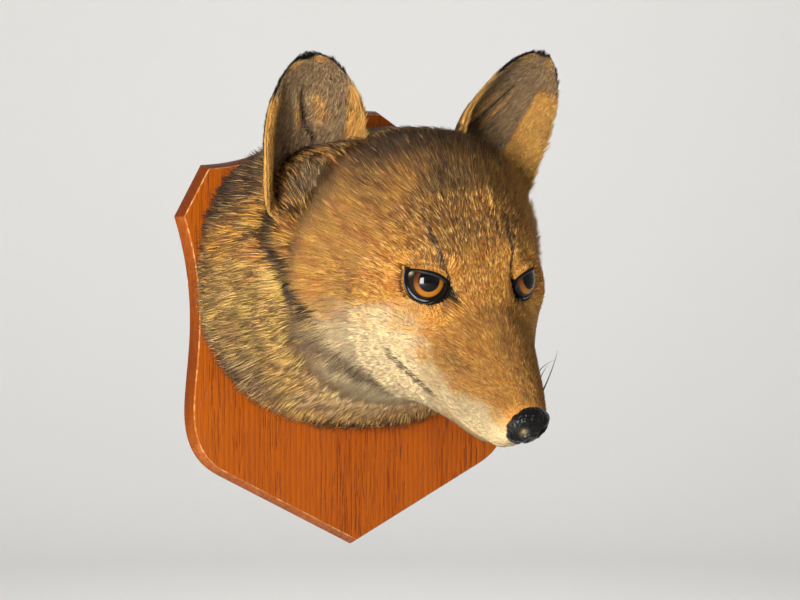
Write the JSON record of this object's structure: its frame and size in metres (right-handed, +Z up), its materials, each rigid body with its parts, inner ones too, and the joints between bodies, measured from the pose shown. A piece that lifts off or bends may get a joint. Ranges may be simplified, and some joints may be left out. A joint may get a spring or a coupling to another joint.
{
  "type": "taxidermy fox head mount",
  "caption": "Life-size red fox head and neck with pricked ears, glass eyes and a long-haired ruff, mounted on a varnished oak shield that hangs flat on a wall.",
  "frame": {"origin": "middle of the shield's flat back face, where it rests against the wall", "axes": "+Y into the wall, out of the shield's back; +Z up; +X to the right of a person who faces the mount"},
  "size_m": [0.1732, 0.1562, 0.2195],
  "materials": {
    "oak": "orange-brown varnished oak, satin",
    "head_coat": "short golden-brown fur, matt",
    "ruff_coat": "long straw and grey-brown fur, matt",
    "jaw_coat": "short cream fur, matt",
    "ear_coat": "short fur, grey-brown inside and black behind",
    "nose_leather": "black, pebbled, glossy",
    "eye_glass": "clear glass over a painted amber iris, polished",
    "screw_steel": "plain steel"
  },
  "bodies": {
    "root": {"shield": "oak", "neck": "ruff_coat", "head": "head_coat", "lower_jaw": "jaw_coat", "nose": "nose_leather", "eye_right": "eye_glass", "ear_right": "ear_coat", "eye_left": "eye_glass", "ear_left": "ear_coat", "screw_upper": "screw_steel", "screw_lower": "screw_steel"}
  },
  "joints": []
}
